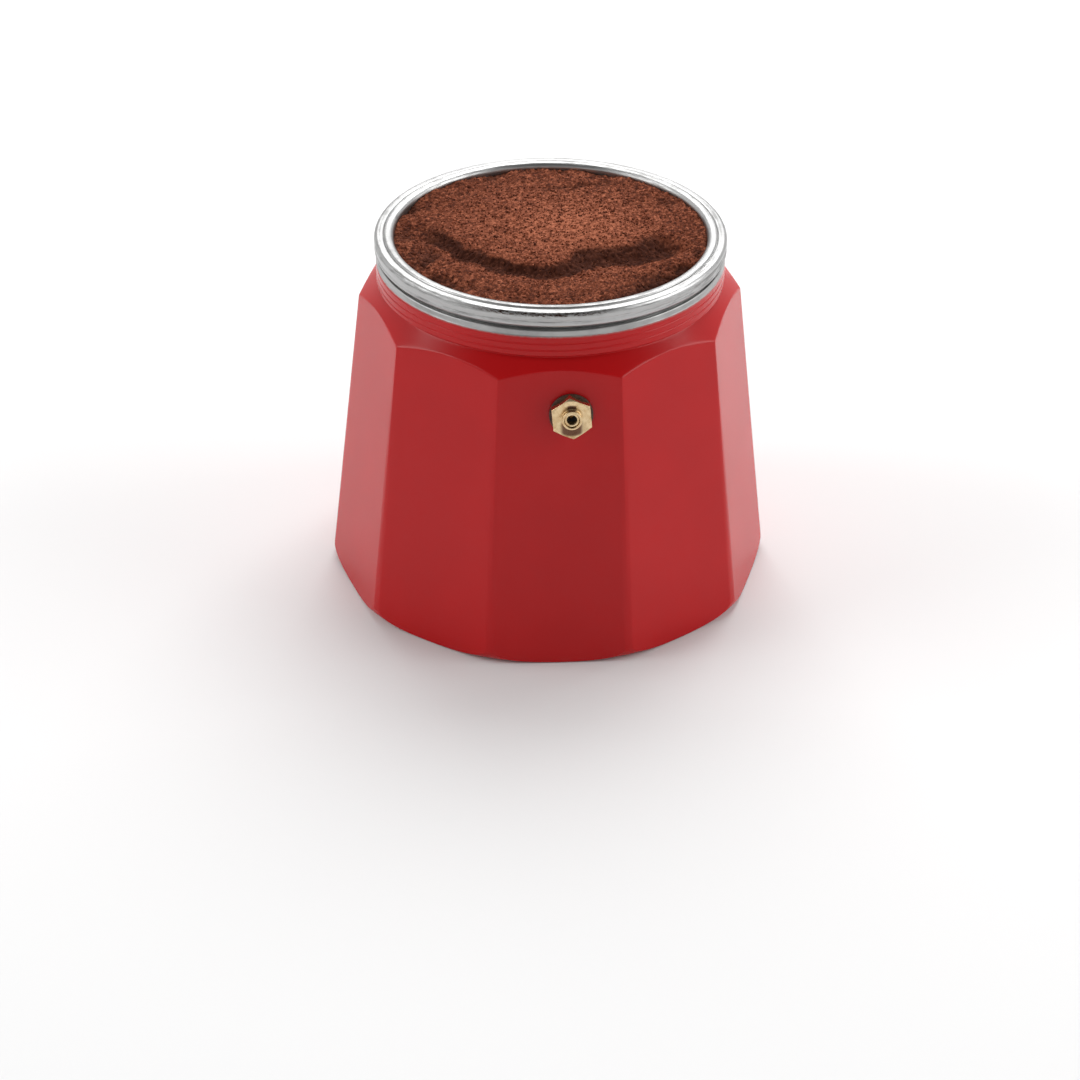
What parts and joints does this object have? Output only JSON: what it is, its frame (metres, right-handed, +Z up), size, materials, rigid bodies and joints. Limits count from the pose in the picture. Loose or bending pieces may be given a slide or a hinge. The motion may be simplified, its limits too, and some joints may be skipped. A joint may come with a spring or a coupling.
{
  "type": "moka pot base",
  "caption": "Ten-sided stove-top boiler with a side safety valve, holding a loose funnel basket full of ground coffee.",
  "frame": {"origin": "middle of the base, on the surface that the boiler stands on", "axes": "+Z up along the boiler's axis; the facet with the safety valve faces -Y; two of the ten corners lie on X"},
  "size_m": [0.109, 0.105, 0.0915],
  "materials": {
    "red_lacquer": "glossy red lacquer on cast aluminium",
    "spun_aluminium": "satin spun aluminium",
    "brass": "turned brass",
    "fibre_washer": "dark brown fibre",
    "seal_rubber": "black rubber",
    "spring_steel": "drawn stainless wire",
    "coffee": "granular ground coffee"
  },
  "bodies": {
    "boiler": {"boiler": "red_lacquer", "valve_washer": "fibre_washer", "valve_body": "brass", "valve_cap": "brass", "valve_spring": "spring_steel"},
    "piston": {"valve_piston": "brass", "valve_seal": "seal_rubber"},
    "funnel": {"funnel_cup": "spun_aluminium", "funnel_tube": "spun_aluminium", "filter_disc": "spun_aluminium"},
    "coffee": {"ground_coffee": "coffee"}
  },
  "joints": [
    {"name": "valve_lift", "type": "slide", "parent": "boiler", "child": "piston", "axis": [0, -0.9939, 0.1106], "range_m": [0, 0.0012], "stiffness_N_per_m": 600, "springref_m": -0.0035, "deforming": ["valve_spring"]},
    {"name": "funnel_lift", "type": "slide", "parent": "boiler", "child": "funnel", "axis": [0, 0, 1], "range_m": [0, 0.085]},
    {"name": "coffee_lift", "type": "slide", "parent": "funnel", "child": "coffee", "axis": [0, 0, 1], "range_m": [0, 0.03]}
  ]
}
